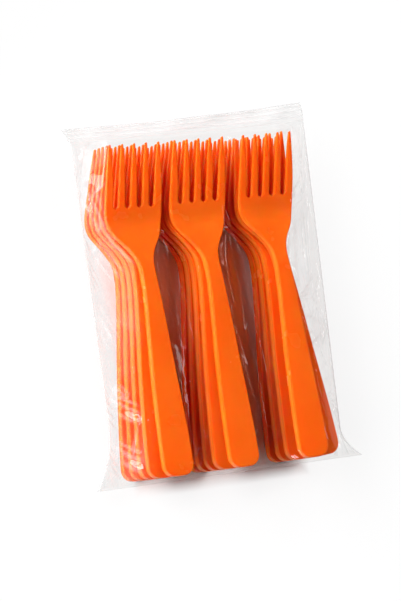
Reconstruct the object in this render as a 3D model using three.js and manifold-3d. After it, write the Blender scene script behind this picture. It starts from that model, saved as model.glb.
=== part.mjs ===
// A clear film bag with three nested stacks of orange plastic forks.
// Millimetres, +Z up. The pack lies on its back: fork faces look up and tines point to +Y.
import * as THREE from "three";
import { mergeVertices } from "three/addons/utils/BufferGeometryUtils.js";
import Module from "manifold-3d";

// Fork, in plan: lengths run from the end of the handle to the tips of the tines
const HANDLE_LENGTH = 99;
const BOWL_LENGTH = 31.5;
const TINE_LENGTH = 29.5;
const HANDLE_END_WIDTH = 15.8;
const HANDLE_END_RADIUS = 5.6;
const HANDLE_TAPER_START = 35;
const NECK_WIDTH = 7;
const NECK_EASE = 14;
const HEAD_WIDTH = 30.5;
const SHOULDER_EASE = 17.5;
const TINE_COUNT = 5;
const TINE_TIP_WIDTH = 1;
const OUTER_TINE_WIDTH = 3.9;
const SLOT_WIDTH = 3.2;

// Fork, from the side: heights are those of the top face above the straight handle
const NECK_RISE = 0.7;
const BOWL_DEPTH = 6.9;
const BOWL_FROM_NECK = 25;
const TIP_RISE = 5.2;
const PLATE = 1.7;
const FLANGE_WALL = 1.3;
const FLANGE_AT_END = 3.9;
const FLANGE_AT_NECK = 4.75;
const FLANGE_AT_SLOTS = 2.6;
const FLANGE_AT_TIPS = 1.6;

// Straight steps that each curve of the fork is drawn with
const CORNER_STEPS = 3;
const HANDLE_STEPS = 3;
const SHOULDER_STEPS = 5;
const TINE_STEPS = 2;
const SLOT_STEPS = 2;
const FACE_STEPS = 9;

// Stacks: deeper forks tilt until the last one lies flat, and fan out from a point in the tines
const FORKS_PER_STACK = 5;
const COLUMN_GAP = 6.7;
const MIDDLE_OFFSET = -1.5;
const SEAT_GAP = 0.4;
const TILT_STEP = THREE.MathUtils.degToRad(0.62);
const SLIDE_STEP = 0.2;
const PIVOT_FROM_TIPS = 24;
const COLUMN_SPACING = HEAD_WIDTH + COLUMN_GAP;
const COLUMNS = [
  { name: "left", x: -COLUMN_SPACING, turn: -0.3, slip: -1.75, fan: -0.54 },
  { name: "middle", x: MIDDLE_OFFSET, turn: 0, slip: -1.75, fan: -0.54 },
  { name: "right", x: COLUMN_SPACING, turn: 0.3, slip: 1.4, fan: -0.7, loose: 4.7 },
];
const LOOSE_LEVEL = 1;

// Film bag
const FILM = 0.3;
const FILM_CLEARANCE = 0.35;
const FILM_MARGIN = 0.9;
const TIPS_FREE = 4.8;
const SEAL_BAND = 7;
const BOTTOM_FREE = 1.6;
const RIM_HEIGHT = 18;
const RIM_THICKNESS = 0.7;
const RIM_GAP = 0.23;
const RIM_WALL = 0.5;
const TOP_SLANT = 2.4;
const TOP_BOW = 1.1;
const LEFT_EDGE = {
  side: -1,
  free: 11,
  lean: 0.027,
  lowEar: 10.4,
  lowReach: 30,
  topEar: 4.6,
  topReach: 12,
};
const RIGHT_EDGE = {
  side: 1,
  free: 12.4,
  lean: 0.053,
  lowEar: 10.8,
  lowReach: 15,
  topEar: -0.7,
  topReach: 8,
};
const FRONT_SAG = 0.06;
const BACK_SAG = 0.12;
const CELLS_ACROSS = 26;
const CELLS_ALONG = 15;
const FILM_PASSES = 60;
const DRAPE_ROUNDS = 100;
const DRAPE_LIFT = 0.3;
const DRAPE_SLACK = 0.8;
const VENT_DIAMETER = 6;
const VENT_SIDES = 16;
const VENT_PLACE = new THREE.Vector2(18, -30);

const NECK_Y = HANDLE_LENGTH;
const SLOT_Y = NECK_Y + BOWL_LENGTH;
const FORK_LENGTH = SLOT_Y + TINE_LENGTH;
const PIVOT_Y = FORK_LENGTH - PIVOT_FROM_TIPS;
const INNER_TINES_WIDTH = HEAD_WIDTH - 2 * OUTER_TINE_WIDTH - (TINE_COUNT - 1) * SLOT_WIDTH;
const TINE_PITCH = INNER_TINES_WIDTH / (TINE_COUNT - 2) + SLOT_WIDTH;
const OUTER_TIP_X = (HEAD_WIDTH - OUTER_TINE_WIDTH) / 2;
const PITCH = FLANGE_AT_NECK + SEAT_GAP - (PIVOT_Y - NECK_Y) * Math.sin(TILT_STEP);

const forkPlastic = new THREE.MeshStandardMaterial({ color: 0xfa5f14, roughness: 0.35, metalness: 0 });
const clearFilm = new THREE.MeshStandardMaterial({
  color: 0xffffff,
  roughness: 0.08,
  metalness: 0,
  transparent: true,
  opacity: 0.2,
});

const wasm = await Module();
wasm.setup();

// Solids and meshes

function solidOf(geometry) {
  const bare = geometry.clone();
  bare.deleteAttribute("normal");
  bare.deleteAttribute("uv");
  const merged = mergeVertices(bare, 1e-4);
  return new wasm.Manifold(
    new wasm.Mesh({
      numProp: 3,
      vertProperties: new Float32Array(merged.attributes.position.array),
      triVerts: new Uint32Array(merged.index.array),
    }),
  );
}

function geometryOf(solid) {
  const mesh = solid.getMesh();
  const geometry = new THREE.BufferGeometry();
  geometry.setAttribute("position", new THREE.BufferAttribute(mesh.vertProperties, 3));
  geometry.setIndex(new THREE.BufferAttribute(mesh.triVerts, 1));
  geometry.computeVertexNormals();
  return geometry;
}

function valueAlong(points, y) {
  // The x of a line of points whose y grows, read at one y
  if (y <= points[0].y) return points[0].x;
  for (let i = 1; i < points.length; i++) {
    const [a, b] = [points[i - 1], points[i]];
    if (y <= b.y) return THREE.MathUtils.mapLinear(y, a.y, b.y, a.x, b.x);
  }
  return points.at(-1).x;
}

// Fork

function forkSide() {
  // The right edge in plan, from the middle of the handle's end to the outer tine's tip
  const end = HANDLE_END_WIDTH / 2;
  const neck = NECK_WIDTH / 2;
  const head = HEAD_WIDTH / 2;
  const tip = OUTER_TIP_X + TINE_TIP_WIDTH / 2;
  const r = HANDLE_END_RADIUS;
  const corner = new THREE.EllipseCurve(end - r, r, r, r, -Math.PI / 2, 0);
  const handle = new THREE.CubicBezierCurve(
    new THREE.Vector2(end, r),
    new THREE.Vector2(end, HANDLE_TAPER_START),
    new THREE.Vector2(neck, NECK_Y - NECK_EASE),
    new THREE.Vector2(neck, NECK_Y),
  );
  const shoulder = new THREE.CubicBezierCurve(
    new THREE.Vector2(neck, NECK_Y),
    new THREE.Vector2(neck, NECK_Y + NECK_EASE),
    new THREE.Vector2(head, SLOT_Y - SHOULDER_EASE),
    new THREE.Vector2(head, SLOT_Y),
  );
  const tine = new THREE.QuadraticBezierCurve(
    new THREE.Vector2(head, SLOT_Y),
    new THREE.Vector2(head, SLOT_Y + TINE_LENGTH / 2),
    new THREE.Vector2(tip, FORK_LENGTH - TINE_TIP_WIDTH / 2),
  );
  const body = [
    ...corner.getPoints(CORNER_STEPS),
    ...handle.getPoints(HANDLE_STEPS).slice(1),
    ...shoulder.getPoints(SHOULDER_STEPS).slice(1),
  ];
  return { body, edge: [...body, ...tine.getPoints(TINE_STEPS).slice(1)] };
}

function mirrored(points) {
  return points.map((p) => new THREE.Vector2(-p.x, p.y)).reverse();
}

function tipAt(i) {
  // The x of a tine's tip: the inner tines are evenly spaced, the outer ones end over their own middle
  const fromMiddle = i - (TINE_COUNT - 1) / 2;
  const outer = i === 0 || i === TINE_COUNT - 1;
  return outer ? Math.sign(fromMiddle) * OUTER_TIP_X : fromMiddle * TINE_PITCH;
}

function forkOutline(side) {
  // The whole plan: right edge, then each tip and the slot to its left, then the left edge
  const points = [...side.edge];
  for (let i = TINE_COUNT - 1; i >= 0; i--) {
    const tip = tipAt(i);
    points.push(new THREE.Vector2(tip, FORK_LENGTH));
    if (i === 0) break;
    const slot = (i - TINE_COUNT / 2) * TINE_PITCH;
    const next = tipAt(i - 1);
    const mouth = FORK_LENGTH - TINE_TIP_WIDTH / 2;
    const root = new THREE.EllipseCurve(
      slot,
      SLOT_Y + SLOT_WIDTH / 2,
      SLOT_WIDTH / 2,
      SLOT_WIDTH / 2,
      0,
      -Math.PI,
      true,
    );
    points.push(new THREE.Vector2(tip - TINE_TIP_WIDTH / 2, mouth));
    points.push(new THREE.Vector2(slot + SLOT_WIDTH / 2, SLOT_Y + TINE_LENGTH / 2));
    points.push(...root.getPoints(SLOT_STEPS));
    points.push(new THREE.Vector2(slot - SLOT_WIDTH / 2, SLOT_Y + TINE_LENGTH / 2));
    points.push(new THREE.Vector2(next + TINE_TIP_WIDTH / 2, mouth));
  }
  return [...points, ...mirrored(side.edge)];
}

function pocketOutline(side) {
  // The hollow under the face, one flange wall inside the edge and short of the slots
  const inner = side.body.map((p, i) => {
    const before = side.body[Math.max(i - 1, 0)];
    const after = side.body[Math.min(i + 1, side.body.length - 1)];
    const along = new THREE.Vector2().subVectors(after, before).normalize();
    return new THREE.Vector2(p.x - along.y * FLANGE_WALL, p.y + along.x * FLANGE_WALL);
  });
  inner.at(-1).y -= 2 * FLANGE_WALL;
  return [...inner, ...mirrored(inner)];
}

// The top face from the side, as points whose x is a height and whose y runs along the fork
const faceCurve = new THREE.SplineCurve([
  new THREE.Vector2(0, NECK_Y / 2),
  new THREE.Vector2(NECK_RISE, NECK_Y - NECK_WIDTH),
  new THREE.Vector2((NECK_RISE - BOWL_DEPTH) / 2, NECK_Y + BOWL_FROM_NECK / 2),
  new THREE.Vector2(-BOWL_DEPTH, NECK_Y + BOWL_FROM_NECK),
  new THREE.Vector2((TIP_RISE - BOWL_DEPTH) / 2, SLOT_Y + TINE_LENGTH / 2 - NECK_WIDTH / 2),
  new THREE.Vector2(TIP_RISE, FORK_LENGTH),
]);
const facePoints = [new THREE.Vector2(0, 0), ...faceCurve.getPoints(FACE_STEPS)];
const flangePoints = [
  new THREE.Vector2(FLANGE_AT_END, 0),
  new THREE.Vector2(FLANGE_AT_NECK, NECK_Y),
  new THREE.Vector2(FLANGE_AT_SLOTS, SLOT_Y),
  new THREE.Vector2(FLANGE_AT_TIPS, FORK_LENGTH),
];
const faceAt = (y) => valueAlong(facePoints, y);
const flangeAt = (y) => valueAlong(flangePoints, y);

function sideSlab(from, depthAt) {
  // A slab across the fork, from one depth under the top face down to another that changes along it
  const reach = FORK_LENGTH;
  const top = facePoints.map((p) => new THREE.Vector2(p.y, p.x - from));
  const bottom = facePoints.map((p) => new THREE.Vector2(p.y, p.x - depthAt(p.y)));
  const shape = new THREE.Shape([...bottom, ...top.reverse()]);
  const slab = new THREE.ExtrudeGeometry(shape, { depth: reach, bevelEnabled: false });
  slab.translate(0, 0, -reach / 2);
  const [x, y, z] = [0, 1, 2].map((k) => new THREE.Vector3().setComponent(k, 1));
  return slab.applyMatrix4(new THREE.Matrix4().makeBasis(y, z, x));
}

function planPrism(points) {
  const prism = new THREE.ExtrudeGeometry(new THREE.Shape(points), {
    depth: 2 * FORK_LENGTH,
    bevelEnabled: false,
  });
  return prism.translate(0, 0, -FORK_LENGTH);
}

const side = forkSide();

function forkGeometry() {
  const whole = solidOf(sideSlab(0, flangeAt)).intersect(solidOf(planPrism(forkOutline(side))));
  const below = solidOf(sideSlab(PLATE, (y) => 2 * flangeAt(y)));
  const pocket = solidOf(planPrism(pocketOutline(side))).intersect(below);
  return geometryOf(whole.subtract(pocket)).translate(0, -PIVOT_Y, 0);
}

// Stacks

function forkTurn(column, level) {
  if (level === LOOSE_LEVEL && column.loose) return column.loose;
  return column.turn + (level ? column.slip + column.fan * level : 0);
}

function stackForks(geometry) {
  const forks = [];
  for (const column of COLUMNS) {
    for (let level = 0; level < FORKS_PER_STACK; level++) {
      const fork = new THREE.Mesh(geometry, forkPlastic);
      fork.name = `fork_${column.name}_${level + 1}`;
      fork.rotation.order = "ZXY";
      fork.rotation.x = TILT_STEP * level;
      fork.rotation.z = THREE.MathUtils.degToRad(forkTurn(column, level));
      fork.position.set(column.x, SLIDE_STEP * level, -PITCH * level);
      fork.updateMatrix();
      forks.push(fork);
    }
  }
  const lowest = Math.min(...forks.map((fork) => new THREE.Box3().setFromObject(fork, true).min.z));
  for (const fork of forks) fork.position.z += FILM + FILM_CLEARANCE - lowest;
  return forks;
}

function forkSpan(fork, x, y) {
  // Lowest and highest point of a fork over one point of the plan, or null where there is none
  const turn = fork.rotation.z;
  const dx = x - fork.position.x;
  const dy = y - fork.position.y;
  const across = dx * Math.cos(turn) + dy * Math.sin(turn);
  const along = dy * Math.cos(turn) - dx * Math.sin(turn) + PIVOT_Y;
  const near = THREE.MathUtils.clamp(along, 0, FORK_LENGTH);
  const beside = Math.abs(across) - valueAlong(side.edge, near);
  if (Math.abs(along - near) > FILM_MARGIN || beside > FILM_MARGIN) return null;
  const top = fork.position.z + (near - PIVOT_Y) * Math.sin(fork.rotation.x) + faceAt(near);
  return { top, bottom: top - flangeAt(near) };
}

// Film bag

function filmRows(forks) {
  // The y of each row of the film, from the bottom fold to the lower edge of the top seal
  const bottom = Math.min(...forks.map((fork) => new THREE.Box3().setFromObject(fork, true).min.y));
  const tips = Math.max(...forks.map((fork) => new THREE.Box3().setFromObject(fork, true).max.y));
  const rows = [bottom - BOTTOM_FREE];
  for (let j = 0; j <= CELLS_ALONG; j++) {
    rows.push(THREE.MathUtils.lerp(bottom - FILM_CLEARANCE, tips + FILM_CLEARANCE, j / CELLS_ALONG));
  }
  rows.push(tips + TIPS_FREE);
  return rows;
}

function edgeAt(edge, y, bottom, top) {
  // The x of one side of the bag: it leans, and runs out to an ear at each corner
  const low = Math.max(0, 1 - (y - bottom) / edge.lowReach);
  const high = Math.max(0, 1 - (top - y) / edge.topReach);
  const reach = COLUMN_SPACING + HEAD_WIDTH / 2 + edge.free;
  const ears = edge.lowEar * low ** 2 + edge.topEar * high ** 2;
  return edge.side * (reach + ears) + edge.lean * (y - (bottom + top) / 2);
}

function filmPoint(u, y, bottom, top) {
  // Plan position of a point of the film, with u from -1 at the left edge to 1 at the right
  const left = edgeAt(LEFT_EDGE, y, bottom, top);
  const right = edgeAt(RIGHT_EDGE, y, bottom, top);
  const aboveTips = Math.max(0, 1 - (top - y) / (TIPS_FREE + SEAL_BAND));
  const rise = (TOP_SLANT * u + TOP_BOW * u * u) * aboveTips;
  return new THREE.Vector2(THREE.MathUtils.lerp(left, right, (u + 1) / 2), y + rise);
}

function relax(grid, heights, floor, limit, load) {
  // A stretched film: each free point goes to the mean of its neighbours, less its sag
  const [columns, rows] = [grid.length, grid[0].length];
  for (let pass = 0; pass < FILM_PASSES; pass++) {
    for (let i = 1; i < columns - 1; i++) {
      for (let j = 1; j < rows - 1; j++) {
        const p = grid[i][j];
        let [sum, weights] = [0, 0];
        for (const [a, b] of [[i - 1, j], [i + 1, j], [i, j - 1], [i, j + 1]]) {
          const weight = 1 / p.distanceTo(grid[a][b]);
          sum += weight * heights[a][b];
          weights += weight;
        }
        const spread = p.distanceTo(grid[i - 1][j]);
        const free = sum / weights - (load * spread * spread) / 2;
        heights[i][j] = Math.min(Math.max(free, floor[i][j]), limit);
      }
    }
  }
}

function cellOf(grid, rows, x, y) {
  // The cell of the film over a point of the plan, and the point's place in it
  const j = rows.findLastIndex((row) => row <= y);
  const t = (y - rows[j]) / (rows[j + 1] - rows[j]);
  const edge = (line) => THREE.MathUtils.lerp(line[j].x, line[j + 1].x, t);
  const [left, right] = [edge(grid[0]), edge(grid.at(-1))];
  const along = ((x - left) / (right - left)) * (grid.length - 1);
  const i = Math.floor(along);
  return { i, j, s: along - i, t };
}

function contacts(grid, rows, forks, heightOf) {
  // The heights that the film has to clear, sampled over the forks in plan
  const found = [];
  const [left, right] = [grid[0][1].x, grid.at(-1)[1].x];
  for (let y = rows[1]; y < rows.at(-2); y += FILM_MARGIN) {
    for (let x = left; x < right; x += FILM_MARGIN) {
      const spans = forks.map((fork) => forkSpan(fork, x, y)).filter(Boolean);
      if (spans.length === 0) continue;
      found.push({ ...cellOf(grid, rows, x, y), height: Math.max(...spans.map(heightOf)) });
    }
  }
  return found;
}

function lowerSplit(z00, z10, z01, z11, s, t) {
  // The lower of the two heights that a cell can have at a point, by which way it is split in triangles
  const rising = s > t ? z00 + s * (z10 - z00) + t * (z11 - z10) : z00 + t * (z01 - z00) + s * (z11 - z01);
  const near = z00 + s * (z10 - z00) + t * (z01 - z00);
  const far = z11 + (1 - s) * (z01 - z11) + (1 - t) * (z10 - z11);
  return Math.min(rising, s + t < 1 ? near : far);
}

function drape(grid, touching, rimHeight, limit, load) {
  // A film stretched from the rim over the forks: the corners of a cell that cuts a fork are lifted in steps
  const heights = grid.map((line) => line.map(() => rimHeight));
  const floor = grid.map((line) => line.map(() => -Infinity));
  for (let round = 0; round < DRAPE_ROUNDS; round++) {
    relax(grid, heights, floor, limit, load);
    for (const { i, j, s, t, height } of touching) {
      const corners = [[i, j], [i + 1, j], [i, j + 1], [i + 1, j + 1]];
      const lift = height - lowerSplit(...corners.map(([a, b]) => heights[a][b]), s, t);
      if (lift <= 0) continue;
      const near = [(1 - s) * (1 - t), s * (1 - t), (1 - s) * t, s * t];
      const total = near.reduce((sum, share) => sum + share * share, 0);
      corners.forEach(([a, b], k) => {
        const lifted = heights[a][b] + (DRAPE_LIFT * lift * near[k]) / total;
        floor[a][b] = Math.max(floor[a][b], Math.min(lifted, height + DRAPE_SLACK));
      });
    }
  }
  return heights;
}

function filmBlock(grid, front, back) {
  // A closed block between two sheets that share one grid in plan
  const [columns, rows] = [grid.length - 1, grid[0].length - 1];
  const block = new THREE.BoxGeometry(1, 1, 1, columns, rows, 1);
  const position = block.attributes.position;
  for (let k = 0; k < position.count; k++) {
    const i = Math.round((position.getX(k) + 0.5) * columns);
    const j = Math.round((position.getY(k) + 0.5) * rows);
    const sheet = position.getZ(k) > 0 ? front : back;
    position.setXYZ(k, grid[i][j].x, grid[i][j].y, sheet[i][j]);
  }
  return solidOf(block);
}

function filmBag(forks) {
  const rows = filmRows(forks);
  const [bottom, top] = [rows[0], rows.at(-1) + SEAL_BAND];
  const across = Array.from({ length: CELLS_ACROSS + 1 }, (_, i) => (2 * i) / CELLS_ACROSS - 1);
  const grid = across.map((u) => rows.map((y) => filmPoint(u, y, bottom, top)));
  const each = (make) => grid.map((line, i) => line.map((_, j) => make(i, j)));
  const onRim = (i, j) => i === 0 || j === 0 || i === CELLS_ACROSS || j === rows.length - 1;

  const highest = Math.max(...forks.map((fork) => new THREE.Box3().setFromObject(fork, true).max.z));
  const front = drape(
    grid,
    contacts(grid, rows, forks, (span) => span.top + FILM_CLEARANCE),
    RIM_HEIGHT,
    highest + FILM_CLEARANCE + DRAPE_SLACK,
    FRONT_SAG,
  );
  const hanging = drape(
    grid,
    contacts(grid, rows, forks, (span) => FILM_CLEARANCE - span.bottom),
    -RIM_HEIGHT,
    -FILM,
    -BACK_SAG,
  );
  const back = hanging.map((line) => line.map((z) => -z));

  const cavity = filmBlock(
    grid,
    each((i, j) => front[i][j] + (onRim(i, j) ? RIM_GAP / 2 : 0)),
    each((i, j) => back[i][j] - (onRim(i, j) ? RIM_GAP / 2 : 0)),
  );

  // The outer sheets stand one film away, with a wall round the rim and the flat seal at the top
  const endOf = (k, last) => (k === 0 ? -1 : k === last ? 1 : 0);
  const outerGrid = grid.map((line, i) => {
    const sideways = RIM_WALL * endOf(i, CELLS_ACROSS);
    const points = line.map((p, j) => {
      return new THREE.Vector2(p.x + sideways, p.y + RIM_WALL * endOf(j, rows.length - 1));
    });
    const edge = filmPoint(across[i], top, bottom, top);
    return [...points, new THREE.Vector2(edge.x + sideways, edge.y)];
  });
  const outer = (sheet, sign) =>
    outerGrid.map((line, i) =>
      line.map((_, j) => {
        if (j >= rows.length - 1 || onRim(i, j)) return RIM_HEIGHT + (sign * RIM_THICKNESS) / 2;
        return sheet[i][j] + sign * FILM;
      }),
    );
  const skin = filmBlock(outerGrid, outer(front, 1), outer(back, -1));

  const vent = new THREE.CylinderGeometry(VENT_DIAMETER / 2, VENT_DIAMETER / 2, RIM_HEIGHT, VENT_SIDES);
  vent.rotateX(Math.PI / 2);
  vent.translate(VENT_PLACE.x, VENT_PLACE.y + (rows[0] + rows.at(-1)) / 2, 0);
  const shell = skin.subtract(cavity).subtract(solidOf(vent));
  const bag = new THREE.Mesh(geometryOf(shell), clearFilm);
  bag.name = "film_bag";
  return bag;
}

const forks = stackForks(forkGeometry());
const bag = filmBag(forks);

// The origin is the middle of the pack's footprint, on the surface that it lies on
const footprint = new THREE.Box3().setFromObject(bag, true).getCenter(new THREE.Vector3());
const pack = new THREE.Group();
pack.name = "pack_of_forks";
pack.add(bag, ...forks);
pack.position.set(-footprint.x, -footprint.y, 0);

export default pack;
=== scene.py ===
import math

import bpy
import numpy as np
from mathutils import Matrix, Vector
from mathutils.bvhtree import BVHTree
from mathutils.geometry import delaunay_2d_cdt


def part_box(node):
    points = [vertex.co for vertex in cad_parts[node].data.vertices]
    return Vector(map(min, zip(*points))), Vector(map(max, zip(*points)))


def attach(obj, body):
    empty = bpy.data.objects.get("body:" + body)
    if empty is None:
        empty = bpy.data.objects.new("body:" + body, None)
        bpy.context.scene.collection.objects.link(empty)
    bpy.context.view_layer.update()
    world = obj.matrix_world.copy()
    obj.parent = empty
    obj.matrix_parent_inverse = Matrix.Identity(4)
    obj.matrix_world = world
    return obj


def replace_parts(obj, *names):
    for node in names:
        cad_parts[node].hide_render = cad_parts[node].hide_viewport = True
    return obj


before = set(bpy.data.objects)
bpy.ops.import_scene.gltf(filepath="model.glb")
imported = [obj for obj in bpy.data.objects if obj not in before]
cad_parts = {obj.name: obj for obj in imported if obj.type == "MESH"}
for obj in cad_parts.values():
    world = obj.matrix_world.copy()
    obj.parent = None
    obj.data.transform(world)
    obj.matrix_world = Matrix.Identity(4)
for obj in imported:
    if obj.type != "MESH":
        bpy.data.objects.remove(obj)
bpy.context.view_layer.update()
MM = 0.001

# The pack's own sizes in millimetres, as in the model
NECK_Y = 99.0
BOWL_LENGTH = 31.5
TINE_LENGTH = 29.5
SLOT_Y = NECK_Y + BOWL_LENGTH
FORK_LENGTH = SLOT_Y + TINE_LENGTH
HANDLE_END_WIDTH = 15.8
HANDLE_END_RADIUS = 5.6
HANDLE_TAPER_START = 35.0
NECK_WIDTH = 7.0
NECK_EASE = 14.0
HEAD_WIDTH = 30.5
SHOULDER_EASE = 17.5
TINE_COUNT = 5
TINE_TIP_WIDTH = 1.0
OUTER_TINE_WIDTH = 3.9
SLOT_WIDTH = 3.2
NECK_RISE = 0.7
BOWL_DEPTH = 6.9
BOWL_FROM_NECK = 25.0
TIP_RISE = 5.2
PLATE = 1.7
FLANGE_WALL = 1.3
END_FLANGE, NECK_FLANGE, SLOT_FLANGE, TIP_FLANGE = 3.9, 4.75, 2.6, 1.6
FLANGE_ALONG = ((0.0, END_FLANGE), (NECK_Y, NECK_FLANGE), (SLOT_Y, SLOT_FLANGE), (FORK_LENGTH, TIP_FLANGE))
INNER_TINES_WIDTH = HEAD_WIDTH - 2 * OUTER_TINE_WIDTH - (TINE_COUNT - 1) * SLOT_WIDTH
TINE_PITCH = INNER_TINES_WIDTH / (TINE_COUNT - 2) + SLOT_WIDTH
OUTER_TIP_X = (HEAD_WIDTH - OUTER_TINE_WIDTH) / 2

FORKS_PER_STACK = 5
COLUMN_GAP = 6.7
COLUMN_SPACING = HEAD_WIDTH + COLUMN_GAP
MIDDLE_OFFSET = -1.5
SEAT_GAP = 0.4
TILT_STEP = math.radians(0.62)
SLIDE_STEP = 0.2
PIVOT_FROM_TIPS = 24.0
PIVOT_Y = FORK_LENGTH - PIVOT_FROM_TIPS
PITCH = NECK_FLANGE + SEAT_GAP - (PIVOT_Y - NECK_Y) * math.sin(TILT_STEP)
# In degrees: a stack's turn, the slip and fan of the forks behind its front one, and the loose fork's turn
COLUMNS = (
    {"name": "left", "x": -COLUMN_SPACING, "turn": -0.3, "slip": -1.75, "fan": -0.54},
    {"name": "middle", "x": MIDDLE_OFFSET, "turn": 0.0, "slip": -1.75, "fan": -0.54},
    {"name": "right", "x": COLUMN_SPACING, "turn": 0.3, "slip": 1.4, "fan": -0.7, "loose": 4.7},
)

# Film beyond the forks, and the bag's side edges with the reach and the length of each corner
TIPS_FREE = 4.8
SEAL_BAND = 7.0
BOTTOM_FREE = 1.6
RIM_HEIGHT = 18.0
TOP_SLANT = 2.4
TOP_BOW = 1.1
LEFT_EDGE = {"side": -1, "free": 11.0, "lean": 0.027, "low": (10.4, 30.0), "top": (4.6, 12.0)}
RIGHT_EDGE = {"side": 1, "free": 12.4, "lean": 0.053, "low": (10.8, 15.0), "top": (-0.7, 8.0)}

# How finely a fork's outline and face are divided
END_STEPS = 10
HANDLE_STEPS = 60
SHOULDER_STEPS = 34
TINE_STEPS = 20
TIP_STEPS = 6
SLOT_SIDE_STEPS = 18
SLOT_ROOT_STEPS = 8
PROFILE_STEPS = 16
END_START_X = 1.0
GRID_STEP = 1.9
GRID_REACH = 16.0
GRID_CLEAR = 0.8
RING_CLEAR = 0.97
SAME_POINT = 1e-5
KEEP_INSIDE = 1
NEVER_ZERO = 1e-12

# Fine shapes of a fork that the model leaves out
SLOT_BEND = 0.55
EDGE_ROUND = 0.5
FOOT_ROUND = 0.35
POCKET_EDGE = 0.07
HEAD_DISH = 0.35
HEAD_DISH_EDGE = 1.0
HEAD_DISH_REACH = 8.0
HEAD_DISH_FROM_NECK = 14.0
HEAD_DISH_FROM_TIPS = 25.0
PARTING_DEPTH = 0.22
PARTING_LINE = ((0.24, 0.0), (0.31, PARTING_DEPTH), (0.38, 0.0))

# Rings of points inside a fork's outline, closest where its edge is rounded
RING_DEPTHS = (0.08, 0.2, 0.35, EDGE_ROUND, 0.85, FLANGE_WALL, FLANGE_WALL + 0.15)


# Fork mesh


def bezier(points, count):
    """Points along a Bezier curve, without its first one."""
    t = np.linspace(0, 1, count + 1)[1:, None]
    p = [np.array(q, float) for q in points]
    if len(p) == 3:
        return (1 - t) ** 2 * p[0] + 2 * t * (1 - t) * p[1] + t**2 * p[2]
    return (1 - t) ** 3 * p[0] + 3 * t * (1 - t) ** 2 * p[1] + 3 * t**2 * (1 - t) * p[2] + t**3 * p[3]


def arc(centre, radius, start, end, count):
    a = np.radians(np.linspace(start, end, count + 1))
    return np.stack([centre[0] + radius * np.cos(a), centre[1] + radius * np.sin(a)], 1)


def fork_side():
    """The right edge in plan, from the handle's end to just below the outer tine's tip."""
    end, neck, head = HANDLE_END_WIDTH / 2, NECK_WIDTH / 2, HEAD_WIDTH / 2
    tip = OUTER_TIP_X + TINE_TIP_WIDTH / 2
    r = HANDLE_END_RADIUS
    handle_high, shoulder_low = NECK_Y - NECK_EASE, NECK_Y + NECK_EASE
    mid = SLOT_Y + TINE_LENGTH / 2
    flat = np.linspace(END_START_X, end - r, 3)[:-1]
    across = np.stack([flat, np.zeros(len(flat))], 1)
    corner = arc((end - r, r), r, -90, 0, END_STEPS)
    handle = bezier(((end, r), (end, HANDLE_TAPER_START), (neck, handle_high), (neck, NECK_Y)), HANDLE_STEPS)
    shoulder = bezier(
        ((neck, NECK_Y), (neck, shoulder_low), (head, SLOT_Y - SHOULDER_EASE), (head, SLOT_Y)), SHOULDER_STEPS
    )
    tine = bezier(((head, SLOT_Y), (head, mid), (tip, FORK_LENGTH - TINE_TIP_WIDTH / 2)), TINE_STEPS)
    return np.concatenate([across, corner, handle, shoulder, tine])


def tip_at(i):
    """The x of a tine's tip: the inner tines are evenly spaced, the outer ones end over their own middle."""
    from_middle = i - (TINE_COUNT - 1) / 2
    outer = i in (0, TINE_COUNT - 1)
    return math.copysign(OUTER_TIP_X, from_middle) if outer else from_middle * TINE_PITCH


def fork_outline():
    """The whole plan of a fork, anticlockwise."""
    side = fork_side()
    w, mouth = TINE_TIP_WIDTH / 2, FORK_LENGTH - TINE_TIP_WIDTH / 2
    mid = SLOT_Y + TINE_LENGTH * SLOT_BEND
    parts = [side]
    for i in reversed(range(TINE_COUNT)):
        tip = tip_at(i)
        parts.append(arc((tip, mouth), w, 0, 180, TIP_STEPS)[1:])
        if i == 0:
            break
        slot, s = (i - TINE_COUNT / 2) * TINE_PITCH, SLOT_WIDTH / 2
        root = SLOT_Y + s
        down = bezier(((tip - w, mouth), (slot + s, mid), (slot + s, root)), SLOT_SIDE_STEPS)
        up = bezier(((slot - s, root), (slot - s, mid), (tip_at(i - 1) + w, mouth)), SLOT_SIDE_STEPS)
        parts += [down, arc((slot, root), s, 0, -180, SLOT_ROOT_STEPS)[1:], up]
    mirror = side[::-1] * np.array([-1.0, 1.0])
    parts.append(mirror[1:])
    return np.concatenate(parts)


def face_profile():
    """Heights of the top face along the fork, on one smooth curve through its control points."""
    control = np.array([
        (0.0, NECK_Y / 2),
        (NECK_RISE, NECK_Y - NECK_WIDTH),
        ((NECK_RISE - BOWL_DEPTH) / 2, NECK_Y + BOWL_FROM_NECK / 2),
        (-BOWL_DEPTH, NECK_Y + BOWL_FROM_NECK),
        ((TIP_RISE - BOWL_DEPTH) / 2, SLOT_Y + TINE_LENGTH / 2 - NECK_WIDTH / 2),
        (TIP_RISE, FORK_LENGTH),
    ])
    points = [np.array((0.0, 0.0))]
    last = len(control) - 1
    for k in range(last):
        p0, p1, p2, p3 = (control[max(k - 1, 0)], control[k], control[k + 1], control[min(k + 2, last)])
        v0, v1 = (p2 - p0) / 2, (p3 - p1) / 2
        cubic, square = 2 * p1 - 2 * p2 + v0 + v1, 3 * p2 - 3 * p1 - 2 * v0 - v1
        for t in np.linspace(0, 1, PROFILE_STEPS + 1)[1 if k else 0:]:
            points.append(cubic * t**3 + square * t**2 + v0 * t + p1)
    points = np.array(points)
    return points[:, 1], points[:, 0]


FACE_Y, FACE_Z = face_profile()
FLANGE_Y, FLANGE_D = np.array(FLANGE_ALONG).T


def face_at(y):
    return np.interp(y, FACE_Y, FACE_Z)


def flange_at(y):
    return np.interp(y, FLANGE_Y, FLANGE_D)


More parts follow.
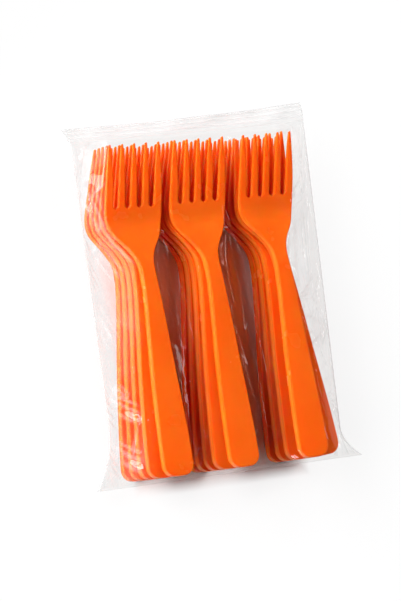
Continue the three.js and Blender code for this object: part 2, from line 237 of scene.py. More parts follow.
def edge_distance(points, loop):
    """Distance of each point to the nearest edge of a closed loop."""
    best = np.full(len(points), np.inf)
    for p0, d in zip(loop, np.roll(loop, -1, 0) - loop):
        ap = points - p0
        t = np.clip((ap @ d) / max(d @ d, NEVER_ZERO), 0, 1)
        best = np.minimum(best, np.hypot(*(ap - t[:, None] * d).T))
    return best


def inside_loop(points, loop):
    """Whether each point lies inside a closed loop, from the edges crossed on the way out."""
    x, y = points.T
    inside = np.zeros(len(points), bool)
    for (x0, y0), (x1, y1) in zip(loop, np.roll(loop, -1, 0)):
        crosses = (y0 > y) != (y1 > y)
        inside ^= crosses & (x < (x1 - x0) * (y - y0) / (y1 - y0 + NEVER_ZERO) + x0)
    return inside


def loop_inward(loop):
    """Unit directions into a closed anticlockwise loop, at its points."""
    along = np.roll(loop, -1, 0) - np.roll(loop, 1, 0)
    along /= np.linalg.norm(along, axis=1)[:, None]
    return np.stack([-along[:, 1], along[:, 0]], 1)


def plan_points(loop):
    """The outline's points, rings of points just inside it, and a staggered grid within the rings."""
    keep = [loop]
    for depth in RING_DEPTHS:
        ring = loop + loop_inward(loop) * depth
        keep.append(ring[edge_distance(ring, loop) > RING_CLEAR * depth])
    across = np.arange(-GRID_REACH, GRID_REACH, GRID_STEP)
    gx, gy = np.meshgrid(across, np.arange(0, FORK_LENGTH, GRID_STEP))
    gx = gx + (np.arange(gx.shape[0]) % 2)[:, None] * GRID_STEP / 2
    grid = np.stack([gx.ravel(), gy.ravel()], 1)
    grid = grid[inside_loop(grid, loop)]
    keep.append(grid[edge_distance(grid, loop) > FLANGE_WALL + GRID_CLEAR])
    return np.concatenate(keep)


def rounding(distance, radius):
    """How far a rounded edge falls away, at each distance from the edge."""
    return radius - np.sqrt(np.maximum(0, radius**2 - np.clip(radius - distance, 0, None) ** 2))


def drop_unused(points, polys):
    """The points that faces use, the faces renumbered, and which points were kept."""
    used = np.unique(np.concatenate([np.array(f) for f in polys]))
    renumber = np.zeros(len(points), int)
    renumber[used] = np.arange(len(used))
    return points[used], [tuple(renumber[list(f)].tolist()) for f in polys], used


def fork_heights(plan, loop):
    """Heights of a fork's top face and of its underside, with the flange and the pocket within it."""
    d, y = edge_distance(plan, loop), plan[:, 1]
    dish = HEAD_DISH * np.clip((d - HEAD_DISH_EDGE) / HEAD_DISH_REACH, 0, 1)
    dish = dish * np.clip((y - NECK_Y) / HEAD_DISH_FROM_NECK, 0, 1)
    dish = dish * np.clip((FORK_LENGTH - y) / HEAD_DISH_FROM_TIPS, 0, 1)
    top = face_at(y) - rounding(d, EDGE_ROUND) - dish
    pocket = (d > FLANGE_WALL + POCKET_EDGE) & (y < SLOT_Y - 2 * FLANGE_WALL)
    bottom = face_at(y) - np.where(pocket, PLATE + dish, flange_at(y) - rounding(d, FOOT_ROUND))
    return top, bottom


def fork_shape():
    """Points and faces of one fork, its pivot at the origin, and which points are on its parting line, where
    the walls get a painted golden highlight.
    """
    loop = fork_outline()
    count = len(loop)
    flat = [Vector(p) for p in plan_points(loop)]
    edges = [(i, (i + 1) % count) for i in range(count)]
    plan, _, faces, sources, _, _ = delaunay_2d_cdt(flat, edges, [], KEEP_INSIDE, SAME_POINT)
    plan = np.array([tuple(p) for p in plan])
    top, bottom = fork_heights(plan, loop)

    # The wall between the two faces has a fine parting line pressed into it
    total = len(plan)
    inward = loop_inward(loop)
    into = np.zeros((total, 2))
    for k, found in enumerate(sources):
        if min(found) < count:
            into[k] = inward[min(found)]
    rings = [np.column_stack([plan, top])]
    for at, depth in PARTING_LINE:
        rings.append(np.column_stack([plan + into * depth, top + (bottom - top) * at]))
    rings.append(np.column_stack([plan, bottom]))
    below = (len(rings) - 1) * total
    polys = []
    for f in faces:
        polys.append(tuple(f))
        polys.append(tuple(i + below for i in reversed(f)))
    sides = dict.fromkeys(side for f in faces for side in zip(f, list(f[1:]) + [f[0]]))
    for a, b in sides:
        if (b, a) not in sides:
            for ring in range(0, below, total):
                polys.append((b + ring, a + ring, a + ring + total, b + ring + total))
    points, polys, used = drop_unused(np.concatenate(rings), polys)
    points[:, 1] -= PIVOT_Y
    return points * MM, polys, (used >= total) & (used < below)


# Where each fork lies: worked out from the front fork of the middle stack

low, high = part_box("fork_middle_1")
SHIFT = Vector((
    (low.x + high.x) / 2 / MM - MIDDLE_OFFSET,
    high.y / MM - PIVOT_FROM_TIPS,
    high.z / MM - TIP_RISE,
))


def fork_places():
    places = []
    for column in COLUMNS:
        for level in range(FORKS_PER_STACK):
            turn = column["turn"] + (column["slip"] + column["fan"] * level if level else 0.0)
            if level == 1 and "loose" in column:
                turn = column["loose"]
            places.append({
                "node": f"fork_{column['name']}_{level + 1}",
                "turn": math.radians(turn),
                "tilt": TILT_STEP * level,
                "at": SHIFT + Vector((column["x"], SLIDE_STEP * level, -PITCH * level)),
            })
    return places


PLACES = fork_places()


# Materials


def new_material(name):
    material = bpy.data.materials.new(name)
    material.use_nodes = True
    material.node_tree.nodes.clear()
    return material, material.node_tree.nodes, material.node_tree.links


def add_node(nodes, kind, values=None, **settings):
    """A new node with its settings and the values of its sockets, by name or number."""
    node = nodes.new(kind)
    for name, setting in settings.items():
        setattr(node, name, setting)
    for socket, value in (values or {}).items():
        node.inputs[socket].default_value = value
    return node


def colour_ramp(nodes, *stops):
    ramp = nodes.new("ShaderNodeValToRGB")
    for element, (position, colour) in zip(ramp.color_ramp.elements, stops):
        element.position = position
        element.color = colour
    return ramp


def fork_plastic():
    """Orange plastic that lets light through, a little uneven in colour and gloss, with its walls painted
    golden: partly a painted highlight of strong light from the side, partly the thin edges' own lighter tone.
    """
    material, nodes, links = new_material("fork_plastic")
    out = nodes.new("ShaderNodeOutputMaterial")
    skin = add_node(nodes, "ShaderNodeBsdfPrincipled", {
        "IOR": 1.5,
        "Subsurface Weight": 0.8,
        "Subsurface Radius": (1.0, 0.1, 0.02),
        "Subsurface Scale": 0.005,
    })
    place = nodes.new("ShaderNodeTexCoord")
    cloud = add_node(nodes, "ShaderNodeTexNoise", {"Scale": 38.0, "Detail": 3.0})
    fine = add_node(nodes, "ShaderNodeTexNoise", {"Scale": 1400.0, "Detail": 2.0})
    flow = add_node(nodes, "ShaderNodeTexNoise", {"Scale": 90.0, "Detail": 2.0})
    tint = colour_ramp(nodes, (0.35, (0.94, 0.122, 0.006, 1)), (0.68, (0.98, 0.140, 0.008, 1)))
    wall = add_node(nodes, "ShaderNodeAttribute", attribute_name="wall")
    # The walls' golden colour is partly a painted highlight of strong side light, partly the thin edges' own
    # lighter tone
    wall_highlight_mix = add_node(nodes, "ShaderNodeMix", {"B": (1.0, 0.2, 0.016, 1)}, data_type="RGBA")
    gloss = add_node(nodes, "ShaderNodeMapRange", {"To Min": 0.22, "To Max": 0.3})
    wave = add_node(nodes, "ShaderNodeBump", {"Strength": 0.12, "Distance": 0.0006})
    grain = add_node(nodes, "ShaderNodeBump", {"Strength": 0.06, "Distance": 0.0002})
    for noise in (cloud, fine, flow):
        links.new(place.outputs["Object"], noise.inputs["Vector"])
    links.new(cloud.outputs["Fac"], tint.inputs["Fac"])
    links.new(wall.outputs["Fac"], wall_highlight_mix.inputs["Factor"])
    links.new(tint.outputs["Color"], wall_highlight_mix.inputs["A"])
    links.new(wall_highlight_mix.outputs["Result"], skin.inputs["Base Color"])
    links.new(flow.outputs["Fac"], gloss.inputs["Value"])
    links.new(gloss.outputs["Result"], skin.inputs["Roughness"])
    links.new(flow.outputs["Fac"], wave.inputs["Height"])
    links.new(fine.outputs["Fac"], grain.inputs["Height"])
    links.new(wave.outputs["Normal"], grain.inputs["Normal"])
    links.new(grain.outputs["Normal"], skin.inputs["Normal"])
    links.new(skin.outputs["BSDF"], out.inputs["Surface"])
    return material


def clear_film():
    """See-through film, glossier at a slant, and milky where the haze layer says."""
    material, nodes, links = new_material("clear_film")
    out = nodes.new("ShaderNodeOutputMaterial")
    clear = add_node(nodes, "ShaderNodeBsdfTransparent", {"Color": (0.962, 0.96, 0.957, 1)})
    shine = add_node(nodes, "ShaderNodeBsdfAnisotropic", {"Color": (1, 1, 1, 1)})
    milk = add_node(nodes, "ShaderNodeBsdfDiffuse", {"Color": (0.78, 0.78, 0.78, 1)})
    haze = add_node(nodes, "ShaderNodeAttribute", attribute_name="haze")
    facing = add_node(nodes, "ShaderNodeLayerWeight", {"Blend": 0.5})
    power = add_node(nodes, "ShaderNodeMath", {1: 5.0}, operation="POWER")
    reflect = add_node(nodes, "ShaderNodeMath", {1: 0.05, 2: 0.03}, operation="MULTIPLY_ADD")
    place = nodes.new("ShaderNodeTexCoord")
    ripple = add_node(nodes, "ShaderNodeTexNoise", {"Scale": 160.0, "Detail": 3.0})
    rough = add_node(nodes, "ShaderNodeMapRange", {"To Min": 0.015, "To Max": 0.05})
    bump = add_node(nodes, "ShaderNodeBump", {"Strength": 0.12, "Distance": 0.0004})
    glossy = nodes.new("ShaderNodeMixShader")
    whole = nodes.new("ShaderNodeMixShader")
    links.new(place.outputs["Object"], ripple.inputs["Vector"])
    links.new(ripple.outputs["Fac"], rough.inputs["Value"])
    links.new(rough.outputs["Result"], shine.inputs["Roughness"])
    links.new(ripple.outputs["Fac"], bump.inputs["Height"])
    links.new(bump.outputs["Normal"], shine.inputs["Normal"])
    links.new(facing.outputs["Facing"], power.inputs[0])
    links.new(power.outputs["Value"], reflect.inputs[0])
    links.new(reflect.outputs["Value"], glossy.inputs["Fac"])
    links.new(clear.outputs["BSDF"], glossy.inputs[1])
    links.new(shine.outputs["BSDF"], glossy.inputs[2])
    links.new(haze.outputs["Fac"], whole.inputs["Fac"])
    links.new(glossy.outputs["Shader"], whole.inputs[1])
    links.new(milk.outputs["BSDF"], whole.inputs[2])
    links.new(whole.outputs["Shader"], out.inputs["Surface"])
    return material


def new_mesh(name, points, polys):
    mesh = bpy.data.meshes.new(name)
    mesh.from_pydata(points.tolist(), [], polys)
    mesh.polygons.foreach_set("use_smooth", np.ones(len(mesh.polygons), bool))
    mesh.update()
    return mesh


def add_layer(mesh, name, values):
    layer = mesh.attributes.new(name, "FLOAT", "POINT")
    layer.data.foreach_set("value", np.asarray(values, np.float32))


def add_piece(name, mesh, material):
    piece = bpy.data.objects.new(name, mesh)
    bpy.context.collection.objects.link(piece)
    mesh.materials.append(material)
    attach(piece, "root")
    return piece


orange = fork_plastic()
fork_points, fork_faces, parting_line_highlight = fork_shape()
for place in PLACES:
    turned = np.array(Matrix.Rotation(place["turn"], 3, "Z") @ Matrix.Rotation(place["tilt"], 3, "X"))
    name = place["node"].replace("fork", "moulded_fork")
    mesh = new_mesh(name, fork_points @ turned.T + np.array(place["at"]) * MM, fork_faces)
    # The parting-line points carry the painted golden wall highlight
    add_layer(mesh, "wall", parting_line_highlight)
    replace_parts(add_piece(name, mesh, orange), place["node"])


# Film bag: two sheets over one grid in plan, drawn tight over the forks and slack between them

SEED = 11
rng = np.random.default_rng(SEED)
boxes = [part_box(place["node"]) for place in PLACES]
FORKS_LOW = min(b[0].y for b in boxes) / MM
FORKS_HIGH = max(b[1].y for b in boxes) / MM
BAG_LOW = FORKS_LOW - BOTTOM_FREE
SEAL_LOW = FORKS_HIGH + TIPS_FREE
BAG_HIGH = SEAL_LOW + SEAL_BAND
FIN = 0.9
SHEETS_APART = 0.12
FILM_CLEAR = 0.3
FORK_MARGIN = 0.85
FLOOR_CLEAR = 0.15
NO_LIMIT = 60.0
NO_FORK = 1e3
PROBE_FROM = 100.0
TINY = 1e-6

# The grid's rows by stretch, from the bottom fold to the top edge, and its columns
FORKS_PAD = 0.3
BOTTOM_ROWS = 9
FORK_ROWS = 176
TIP_ROWS = 15
SEAL_ROWS = 15
FILM_COLUMNS = 171

# Heights of the film's crumples, and how much they calm down in the gaps and along the left handles
SOFTEN_PASSES = 24
SLACK_FROM, SLACK_FULL = 0.15, 2.5
RIM_SETTLE = 3.0
FINE_HEIGHT, BROAD_HEIGHT, LONG_HEIGHT, SMALL_HEIGHT = 1.0, 0.8, 0.9, 0.55
BACK_HEIGHT = 0.5
BACK_RAMP = (0.3, 4.0)
GAP_REACH = 12.0
GAP_CALM = 0.8
LEFT_CALM = 0.75
LEFT_HANDLES_X = ((-60.0, -56.0), (-42.0, -36.0))
LEFT_HANDLES_Y = (-10.0, 0.0)
CREASE_FADE = 0.25

# Where the film hangs clear of the forks: how far from the middle, and how far below the handles
MARGIN_RAMP, MARGIN_LOW_RAMP = (50.0, 57.0), (0.0, 2.0)
OUTSIDE_RAMP, OUTSIDE_LOW_RAMP = (40.0, 48.0), (-1.0, 2.0)

# The crumples' cells: width, length and shear, then how far their points stray, and spare cells at the edges
FINE_CELLS = (8.0, 15.0, 0.12)
BROAD_CELLS = (15.0, 22.0, -0.1)
LONG_CELLS = (7.0, 26.0, -0.09)
SMALL_CELLS = (5.0, 9.0, 0.2)
SEAL_CELLS = (9.0, 4.5, 0.3)
JITTER = 0.38
SPARE_CELLS = 4

# Folds that the photograph shows, from x, y to x, y in plan, with each one's height and half width
CREASES = (
    (-20.0, 22.0, -12.0, -78.0, 1.6, 3.2),
    (-25.0, 26.0, -21.0, -30.0, 1.2, 2.6),
    (17.0, 28.0, 22.5, -62.0, 1.6, 3.2),
    (22.0, 10.0, 27.0, -60.0, 1.3, 2.4),
    (-58.5, 58.0, -50.5, 30.0, 1.4, 2.6),
    (-57.5, 28.0, -47.0, 8.0, 1.4, 2.6),
    (-63.0, 4.0, -53.0, -24.0, 1.3, 3.0),
    (-57.0, -41.0, -53.0, -47.0, 1.5, 2.2),
    (-61.5, -46.0, -45.0, -59.0, 3.2, 3.6),
    (-45.5, -57.5, -53.0, -78.5, 2.4, 3.2),
    (-63.5, -68.0, -49.0, -81.5, 3.0, 3.6),
    (-66.0, -30.0, -58.0, -52.0, 1.6, 3.0),
    (-68.0, -64.0, -60.0, -78.0, 1.6, 3.0),
    (-20.0, -64.0, -16.0, -83.0, 1.3, 2.0),
    (11.0, -52.0, 19.0, -83.0, 1.3, 2.2),
    (27.0, -54.0, 21.5, -83.0, 1.4, 2.2),
    (62.0, 40.0, 58.0, -10.0, 0.9, 2.4),
    (70.0, -82.0, 56.0, -60.0, 1.3, 2.4),
)

# The seal's waves (height, radians per millimetre, phase), its crumple and its pressed lines
SEAL_WAVES = ((0.7, 0.11, 0.6), (0.35, 0.31, 2.0))
SEAL_CRUMPLE = 0.45
SEAL_CRUMPLE_RAMP = (0.0, 0.3)
PRESSED_AT = (0.3, 0.62, 0.9)
PRESSED_HEIGHT = 0.16
PRESSED_WIDTH = 0.08

# Shares of haze in the film
FOLD_HAZE = 0.18
FOLD_HAZE_OVER_FORKS = 0.05
FOLD_FROM, FOLD_RANGE = 0.05, 0.35
SEAL_FOLDS = 0.35
SEAL_HAZE = 0.12
PRESSED_HAZE = 2.4
EDGE_HAZE = 0.35
FREE_HAZE, FREE_FINE_HAZE, FREE_SMALL_HAZE = 0.05, 0.2, 0.12
FREE_LEFT, FREE_RIGHT = 0.35, 0.5
BARE_PASSES = 6


def edge_x(edge, y):
    """The x of one of the bag's side edges, with its corners drawn out."""
    low = np.clip(1 - (y - BAG_LOW) / edge["low"][1], 0, None) ** 2
    high = np.clip(1 - (BAG_HIGH - y) / edge["top"][1], 0, None) ** 2
    reach = COLUMN_SPACING + HEAD_WIDTH / 2 + edge["free"] + edge["low"][0] * low + edge["top"][0] * high
    return SHIFT.x + edge["side"] * reach + edge["lean"] * (y - (BAG_LOW + BAG_HIGH) / 2)


def film_grid():
    """Plan positions: columns from the left edge to the right, rows from the bottom fold to the top edge."""
    low, high = FORKS_LOW - FORKS_PAD, FORKS_HIGH + FORKS_PAD
    rows = np.concatenate([
        np.linspace(BAG_LOW, low, BOTTOM_ROWS),
        np.linspace(low, high, FORK_ROWS)[1:],
        np.linspace(high, SEAL_LOW, TIP_ROWS)[1:],
        np.linspace(SEAL_LOW, BAG_HIGH, SEAL_ROWS)[1:],
    ])
    u = np.linspace(-1, 1, FILM_COLUMNS)
    left, right = edge_x(LEFT_EDGE, rows), edge_x(RIGHT_EDGE, rows)
    x = left[None, :] + (right - left)[None, :] * ((u + 1) / 2)[:, None]
    above = np.clip(1 - (BAG_HIGH - rows) / (TIPS_FREE + SEAL_BAND), 0, None)
    y = rows[None, :] + (TOP_SLANT * u + TOP_BOW * u * u)[:, None] * above[None, :]
    return rows, x, y


ROWS, GX, GY = film_grid()
sealed = np.broadcast_to(ROWS >= SEAL_LOW - TINY, GX.shape)
rim = sealed.copy()
rim[0, :] = rim[-1, :] = rim[:, 0] = True


def fork_spans():
    """Highest top and lowest underside of the forks over each point of the plan."""
    # The outline's first points run across the handle's end
    half_x, half_y = fork_side()[3:].T
    top = np.full(GX.shape, -NO_FORK)
    bottom = np.full(GX.shape, NO_FORK)
    for place in PLACES:
        c, s = math.cos(place["turn"]), math.sin(place["turn"])
        dx, dy = GX - place["at"].x, GY - place["at"].y
        across = dx * c + dy * s
        along = dy * c - dx * s + PIVOT_Y
        near = np.clip(along, 0, FORK_LENGTH)
        half = np.interp(near, half_y, half_x)
        here = (np.abs(across) < half + FORK_MARGIN) & (np.abs(along - near) < FORK_MARGIN)
        z = place["at"].z + (near - PIVOT_Y) * math.sin(place["tilt"]) + face_at(near)
        top = np.where(here, np.maximum(top, z), top)
        bottom = np.where(here, np.minimum(bottom, z - flange_at(near)), bottom)
    return top, bottom


def model_film():
    """Heights of the model's own film over the plan: its front seen from above, its back seen from below."""
    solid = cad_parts["film_bag"].data
    corners = [v.co / MM for v in solid.vertices]
    tree = BVHTree.FromPolygons(corners, [tuple(f.vertices) for f in solid.polygons])
    sheets = []
    for way in (-1.0, 1.0):
        z = np.full(GX.shape, RIM_HEIGHT)
        for i, j in np.ndindex(GX.shape):
            start = Vector((GX[i, j], GY[i, j], -way * PROBE_FROM))
            hit = tree.ray_cast(start, Vector((0, 0, way)))[0]
            if hit is not None:
                z[i, j] = hit.z
        sheets.append(z)
    return sheets


def neighbour_mean(z):
    """The mean of each inner grid point's four neighbours."""
    return (z[2:, 1:-1] + z[:-2, 1:-1] + z[1:-1, 2:] + z[1:-1, :-2]) / 4


def soften(z, low, high, passes):
    """Smooths a grid between a lowest and a highest one, with the rim kept as it is."""
    for _ in range(passes):
        moved = np.clip(neighbour_mean(z), low[1:-1, 1:-1], high[1:-1, 1:-1])
        z[1:-1, 1:-1] = np.where(rim[1:-1, 1:-1], z[1:-1, 1:-1], moved)
    return z


def lay_facet(field, x, y, corners):
    """Writes a flat triangle's heights into a field."""
    (x0, y0, h0), (x1, y1, h1), (x2, y2, h2) = corners
    det = (x1 - x0) * (y2 - y0) - (x2 - x0) * (y1 - y0)
    if abs(det) < TINY:
        return
    near = (x >= min(x0, x1, x2)) & (x <= max(x0, x1, x2))
    near &= (y >= min(y0, y1, y2)) & (y <= max(y0, y1, y2))
    qx, qy = x[near] - x0, y[near] - y0
    s = (qx * (y2 - y0) - (x2 - x0) * qy) / det
    t = ((x1 - x0) * qy - qx * (y1 - y0)) / det
    inside = (s >= -TINY) & (t >= -TINY) & (s + t <= 1 + TINY)
    field[near] = np.where(inside, h0 + s * (h1 - h0) + t * (h2 - h0), field[near])


def facets(cell_x, cell_y, shear):
    """A crumple of flat facets: heights at jittered points, joined by flat triangles, between -1 and 1."""
    x, y = GX - shear * GY, GY
    nx = int((x.max() - x.min()) / cell_x) + SPARE_CELLS
    ny = int((y.max() - y.min()) / cell_y) + SPARE_CELLS
    px = x.min() + (np.arange(nx)[:, None] - 1 + rng.uniform(-JITTER, JITTER, (nx, ny))) * cell_x
    py = y.min() + (np.arange(ny)[None, :] - 1 + rng.uniform(-JITTER, JITTER, (nx, ny))) * cell_y
    h = rng.uniform(-1, 1, (nx, ny))
    field = np.zeros(x.shape)
    for a in range(nx - 1):
        for b in range(ny - 1):
            quad = [(a, b), (a + 1, b), (a + 1, b + 1), (a, b + 1)]
            if rng.random() < 0.5:
                quad = quad[1:] + quad[:1]
            for tri in ((quad[0], quad[1], quad[2]), (quad[0], quad[2], quad[3])):
                lay_facet(field, x, y, [(px[k], py[k], h[k]) for k in tri])
    return field


def crease(x0, y0, x1, y1, height, width):
    """A straight fold line: a tent across the line that fades out at its ends."""
    length = math.hypot(x1 - x0, y1 - y0)
    tx, ty = (x1 - x0) / length, (y1 - y0) / length
    along = (GX - x0) * tx + (GY - y0) * ty
    across = np.abs((GY - y0) * tx - (GX - x0) * ty)
    fade = CREASE_FADE * length
    ends = np.clip(along / fade, 0, 1) * np.clip((length - along) / fade, 0, 1)
    return height * np.clip(1 - across / width, 0, 1) * ends


def smooth_step(v, low, high):
    t = np.clip((v - low) / (high - low), 0, 1)
    return t * t * (3 - 2 * t)


# The two sheets as the model has them, rounded off between the forks and the surface that the pack lies on
fork_top, fork_bottom = fork_spans()
over, under = fork_top + FILM_CLEAR, fork_bottom - FILM_CLEAR
model_front, model_back = model_film()
highest = np.full(GX.shape, NO_LIMIT)
lowest = np.full(GX.shape, FLOOR_CLEAR)
front = soften(np.where(rim, RIM_HEIGHT, model_front), over, highest, SOFTEN_PASSES)
back = soften(np.where(rim, RIM_HEIGHT, model_back), lowest, np.where(rim, NO_LIMIT, under), SOFTEN_PASSES)

# Crumples where the film is free, none where it is drawn over a fork
slack = smooth_step(front - over, SLACK_FROM, SLACK_FULL)
from_sides = np.minimum(GX - GX[:1, :], GX[-1:, :] - GX)
from_ends = np.minimum(GY - GY[:, :1], SEAL_LOW - GY)
settle = smooth_step(np.minimum(from_sides, from_ends), 0.0, RIM_SETTLE)
fine, broad, long, small = (facets(*cells) for cells in (FINE_CELLS, BROAD_CELLS, LONG_CELLS, SMALL_CELLS))
from_middle = np.abs(GX - SHIFT.x)
between = np.clip(1 - np.abs(from_middle - COLUMN_SPACING / 2) / GAP_REACH, 0, 1)
below_forks = FORKS_LOW - GY
margin = np.maximum(smooth_step(from_middle, *MARGIN_RAMP), smooth_step(below_forks, *MARGIN_LOW_RAMP))
handles_from, handles_to = (smooth_step(GX, *ramp) for ramp in LEFT_HANDLES_X)
left_handles = handles_from * (1 - handles_to) * (1 - smooth_step(GY, *LEFT_HANDLES_Y))
crumple = (FINE_HEIGHT * fine + BROAD_HEIGHT * broad) * (1 - GAP_CALM * between)
crumple = crumple + LONG_HEIGHT * long * between + SMALL_HEIGHT * small * margin
crumple = crumple * (1 - LEFT_CALM * left_handles)
for line in CREASES:
    crumple = crumple + crease(*line)
front = np.maximum(front + crumple * slack * settle, over)
drape = smooth_step(back, *BACK_RAMP) * settle
back_high = np.where(rim, NO_LIMIT, np.maximum(under, FLOOR_CLEAR))
back = np.clip(back + BACK_HEIGHT * (fine - broad) * drape, FLOOR_CLEAR, back_high)

# The flat seal: two welded sheets with pressed lines, lifting a little along its length
in_seal = (GY - SEAL_LOW) / SEAL_BAND
waves = sum(height * np.sin(GX * rate + phase) for height, rate, phase in SEAL_WAVES)
lift = waves * smooth_step(in_seal, 0.0, 1.0)
lift = lift + SEAL_CRUMPLE * facets(*SEAL_CELLS) * smooth_step(in_seal, *SEAL_CRUMPLE_RAMP)
row_in_seal = np.clip((ROWS - SEAL_LOW) / SEAL_BAND, 0, 1)[None, :] * np.ones(GX.shape)
ridges = (np.clip(1 - np.abs(row_in_seal - at) / PRESSED_WIDTH, 0, 1) for at in PRESSED_AT)
pressed = sum(PRESSED_HEIGHT * ridge for ridge in ridges)
front = np.where(sealed, RIM_HEIGHT + SHEETS_APART + pressed + lift, front)
back = np.where(sealed, RIM_HEIGHT - SHEETS_APART + pressed + lift, back)


def film_haze():
    """How milky the film is: slightly in folds and loose stretches, more along welds and edges."""
    bend = np.zeros(GX.shape)
    dz = np.where(sealed, lift, crumple)
    bend[1:-1, 1:-1] = 4 * np.abs(neighbour_mean(dz) - dz[1:-1, 1:-1])
    folded = np.clip((bend - FOLD_FROM) / FOLD_RANGE, 0, 1) * np.where(sealed, SEAL_FOLDS, slack * settle)
    outside = np.maximum(smooth_step(from_middle, *OUTSIDE_RAMP), smooth_step(below_forks, *OUTSIDE_LOW_RAMP))
    bare = soften((fork_top < 0) * 1.0, np.zeros(GX.shape), np.ones(GX.shape), BARE_PASSES)
    free = outside * slack * bare * ~sealed * np.where(GX < SHIFT.x, FREE_LEFT, FREE_RIGHT)
    shown = FOLD_HAZE_OVER_FORKS + (1 - FOLD_HAZE_OVER_FORKS) * outside * bare
    haze = FOLD_HAZE * folded * shown + sealed * (SEAL_HAZE + PRESSED_HAZE * pressed)
    facet_haze = FREE_FINE_HAZE * np.clip(fine, 0, 1) + FREE_SMALL_HAZE * np.clip(small, 0, 1)
    haze = np.pad(haze + free * (FREE_HAZE + facet_haze), ((1, 1), (0, 0)))
    haze[[0, -1], :] = EDGE_HAZE
    haze[:, [0, -1]] = EDGE_HAZE
    return haze


def film_mesh():
    """Both sheets, joined all round, with a fin along each side."""
    x = np.concatenate([GX[:1] - FIN, GX, GX[-1:] + FIN])
    y = np.concatenate([GY[:1], GY, GY[-1:]])
    zf, zb = front.copy(), back.copy()
    for side in (0, -1):
        zf[side] += SHEETS_APART * ~sealed[side]
        zb[side] -= SHEETS_APART * ~sealed[side]
    fins = np.where(sealed[[0, -1]], front[[0, -1]] - SHEETS_APART, RIM_HEIGHT)
    zf = np.concatenate([fins[:1], zf, fins[1:]])
    zb = np.concatenate([fins[:1], zb, fins[1:]])
    zb[:, 0] = zf[:, 0] = RIM_HEIGHT
    zf[:, -1] -= SHEETS_APART
    zb[:, -1] = zf[:, -1]

    index_f = np.arange(x.size).reshape(x.shape)
    index_b = index_f + x.size
    border = np.ones(x.shape, bool)
    border[1:-1, 1:-1] = False
    index_b[border] = index_f[border]
    points = np.concatenate([np.stack([x, y, z], -1).reshape(-1, 3) for z in (zf, zb)])
    f, b = index_f, index_b
    quads_f = np.stack([f[:-1, :-1], f[1:, :-1], f[1:, 1:], f[:-1, 1:]], -1).reshape(-1, 4)
    quads_b = np.stack([b[:-1, :-1], b[:-1, 1:], b[1:, 1:], b[1:, :-1]], -1).reshape(-1, 4)
    points, polys, used = drop_unused(points, np.concatenate([quads_f, quads_b]).tolist())
    mesh = new_mesh("film", points * MM, polys)
    add_layer(mesh, "haze", np.tile(film_haze().ravel(), 2)[used])
    return mesh


film = add_piece("film_bag_clear", film_mesh(), clear_film())
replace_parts(film, "film_bag")


# Floor, light and camera

# The stacks' footprint on the floor and the blend around it, in millimetres
FLOOR_LIT = (("X", -40.0, 48.0), ("Y", -88.5, 70.0))
FLOOR_BLEND = 6.0
# The floor's reach and the shade at the pack's lower right, in metres
FLOOR_HALF = 6.0
SHADE_CENTRE = (0.07, -0.08, 0)
SHADE_FROM, SHADE_TO = 0.06, 0.26
SHADE_WHITE = 0.82


def join_math(nodes, links, operation, first, second):
    """The output of a Math node that joins two others."""
    node = add_node(nodes, "ShaderNodeMath", operation=operation)
    links.new(first, node.inputs[0])
    links.new(second, node.inputs[1])
    return node.outputs["Value"]


def pale_floor():
    """Floor that is plainly lit under the stacks and white around them, a little less so in their shade."""
    material, nodes, links = new_material("pale_floor")
    out = nodes.new("ShaderNodeOutputMaterial")
    base = add_node(nodes, "ShaderNodeBsdfDiffuse", {"Color": (0.9, 0.9, 0.9, 1)})
    white = add_node(nodes, "ShaderNodeEmission", {"Color": (1, 1, 1, 1)})
    path = nodes.new("ShaderNodeLightPath")
    place = nodes.new("ShaderNodeTexCoord")
    apart = nodes.new("ShaderNodeSeparateXYZ")
    mix = nodes.new("ShaderNodeMixShader")
    links.new(place.outputs["Object"], apart.inputs["Vector"])
    outside = None
    for axis, low_edge, high_edge in FLOOR_LIT:
        for edge, sign in ((low_edge, -1), (high_edge, 1)):
            reach = {"From Min": edge * MM, "From Max": (edge + sign * FLOOR_BLEND) * MM}
            ramp = add_node(nodes, "ShaderNodeMapRange", reach)
            links.new(apart.outputs[axis], ramp.inputs["Value"])
            beyond = ramp.outputs["Result"]
            outside = join_math(nodes, links, "MAXIMUM", outside, beyond) if outside else beyond
    away = add_node(nodes, "ShaderNodeVectorMath", {1: SHADE_CENTRE}, operation="DISTANCE")
    shade = {"From Min": SHADE_FROM, "From Max": SHADE_TO, "To Min": SHADE_WHITE}
    far = add_node(nodes, "ShaderNodeMapRange", shade)
    links.new(place.outputs["Object"], away.inputs[0])
    links.new(away.outputs["Value"], far.inputs["Value"])
    shown = join_math(nodes, links, "MAXIMUM", path.outputs["Is Camera Ray"], path.outputs["Is Glossy Ray"])
    share = join_math(nodes, links, "MULTIPLY", shown, outside)
    links.new(join_math(nodes, links, "MULTIPLY", share, far.outputs["Result"]), mix.inputs["Fac"])
    links.new(base.outputs["BSDF"], mix.inputs[1])
    links.new(white.outputs["Emission"], mix.inputs[2])
    links.new(mix.outputs["Shader"], out.inputs["Surface"])
    return material


floor_mesh = bpy.data.meshes.new("floor")
floor_corners = [(x * FLOOR_HALF, y * FLOOR_HALF, 0) for x, y in ((-1, -1), (1, -1), (1, 1), (-1, 1))]
floor_mesh.from_pydata(floor_corners, [], [(0, 1, 2, 3)])
floor = bpy.data.objects.new("floor", floor_mesh)
bpy.context.collection.objects.link(floor)
floor_mesh.materials.append(pale_floor())

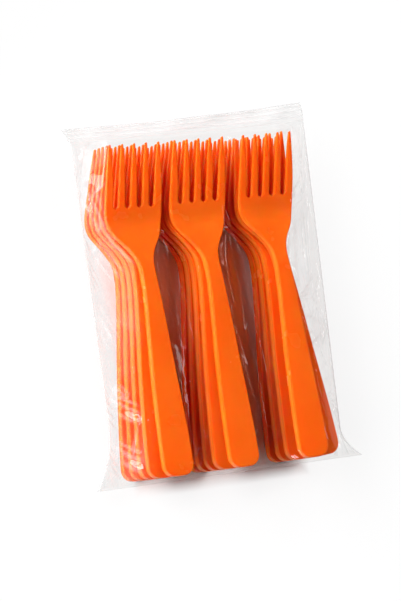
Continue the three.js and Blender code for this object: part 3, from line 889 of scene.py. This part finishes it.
# Lamps aimed at the pack: name, then place, width and height in metres, then watts
AIM = Vector((0, 0, 0.02))
PLASTIC_LAMPS = (
    ("top_right", (0.68, 0.32, 1.06), 0.4, 0.4, 10.0),
    ("top_left", (-0.95, 0.3, 0.82), 1.0, 0.35, 6.0),
    ("left_window", (-1.1, 0.35, 0.47), 2.0, 0.66, 40.0),
)
GLINT_LAMPS = (
    ("right_card", (1.1, 0.1, 0.5), 0.7, 0.09, 1.1),
    ("left_pane_low", (-1.1, -0.8, 0.24), 0.6, 0.27, 6.4),
    ("left_pane_middle", (-1.1, -0.05, 0.24), 0.3, 0.18, 1.6),
    ("left_pane_high", (-1.1, 0.7, 0.24), 0.6, 0.18, 1.4),
)


def area_light(name, at, width, height, watts):
    lamp = bpy.data.lights.new(name, "AREA")
    lamp.shape = "RECTANGLE"
    lamp.size, lamp.size_y = width, height
    lamp.energy = watts
    holder = bpy.data.objects.new(name, lamp)
    holder.location = at
    holder.rotation_euler = (AIM - Vector(at)).to_track_quat("-Z", "Y").to_euler()
    bpy.context.collection.objects.link(holder)
    return holder


# One group of lamps lights the plastic and the floor; the other only glints in the film
for lamp in PLASTIC_LAMPS:
    area_light(*lamp).visible_glossy = False
only_film = bpy.data.collections.new("only_film")
only_film.objects.link(film)
for lamp in GLINT_LAMPS:
    glint = area_light(*lamp)
    glint.visible_diffuse = False
    glint.light_linking.receiver_collection = only_film


def studio_world():
    """A dim world that is a little lighter towards the horizon, and white to the camera."""
    world = bpy.data.worlds.new("studio")
    world.use_nodes = True
    nodes, links = world.node_tree.nodes, world.node_tree.links
    nodes.clear()
    out = nodes.new("ShaderNodeOutputWorld")
    seen = add_node(nodes, "ShaderNodeBackground", {"Color": (1, 1, 1, 1)})
    lit = nodes.new("ShaderNodeBackground")
    path = nodes.new("ShaderNodeLightPath")
    place = nodes.new("ShaderNodeTexCoord")
    apart = nodes.new("ShaderNodeSeparateXYZ")
    ramp = colour_ramp(nodes, (0.12, (0.05, 0.05, 0.051, 1)), (0.45, (0.01, 0.01, 0.01, 1)))
    mix = nodes.new("ShaderNodeMixShader")
    links.new(place.outputs["Generated"], apart.inputs["Vector"])
    links.new(apart.outputs["Z"], ramp.inputs["Fac"])
    links.new(ramp.outputs["Color"], lit.inputs["Color"])
    links.new(path.outputs["Is Camera Ray"], mix.inputs["Fac"])
    links.new(lit.outputs["Background"], mix.inputs[1])
    links.new(seen.outputs["Background"], mix.inputs[2])
    links.new(mix.outputs["Shader"], out.inputs["Surface"])
    return world


bpy.context.scene.world = studio_world()

# Camera: the photograph's angle on the front forks, in degrees and millimetres
CAMERA_LEAN, CAMERA_SWING, CAMERA_ROLL = 30.0, -5.4277, -9.2639
TARGET = Vector((-9.011, -5.262, 29.15))
DISTANCE = 1471.1
FOCAL_PIXELS = 3060.1
PHOTO_HEIGHT_PIXELS = 601
SENSOR_WIDTH = 36.0


def photo_camera():
    """Looks down at the pack, leaning to the left of it and swung towards its handles."""
    data = bpy.data.cameras.new("camera")
    data.sensor_width = SENSOR_WIDTH
    data.lens = FOCAL_PIXELS * SENSOR_WIDTH / PHOTO_HEIGHT_PIXELS
    camera = bpy.data.objects.new("camera", data)
    bpy.context.collection.objects.link(camera)
    lean, swing, roll = (math.radians(angle) for angle in (CAMERA_LEAN, CAMERA_SWING, CAMERA_ROLL))
    level = Vector((math.cos(lean), 0, math.sin(lean)))
    back = Vector((-math.sin(lean) * math.cos(swing), math.sin(swing), math.cos(lean) * math.cos(swing)))
    right = Matrix.Rotation(roll, 3, back) @ level
    turned = Matrix((right, back.cross(right), back)).transposed()
    spot = (TARGET + back * DISTANCE) * MM
    camera.matrix_world = Matrix.Translation(spot) @ turned.to_4x4()
    return camera


bpy.context.scene.camera = photo_camera()
bpy.context.scene.view_settings.view_transform = "Standard"

bpy.context.view_layer.update()
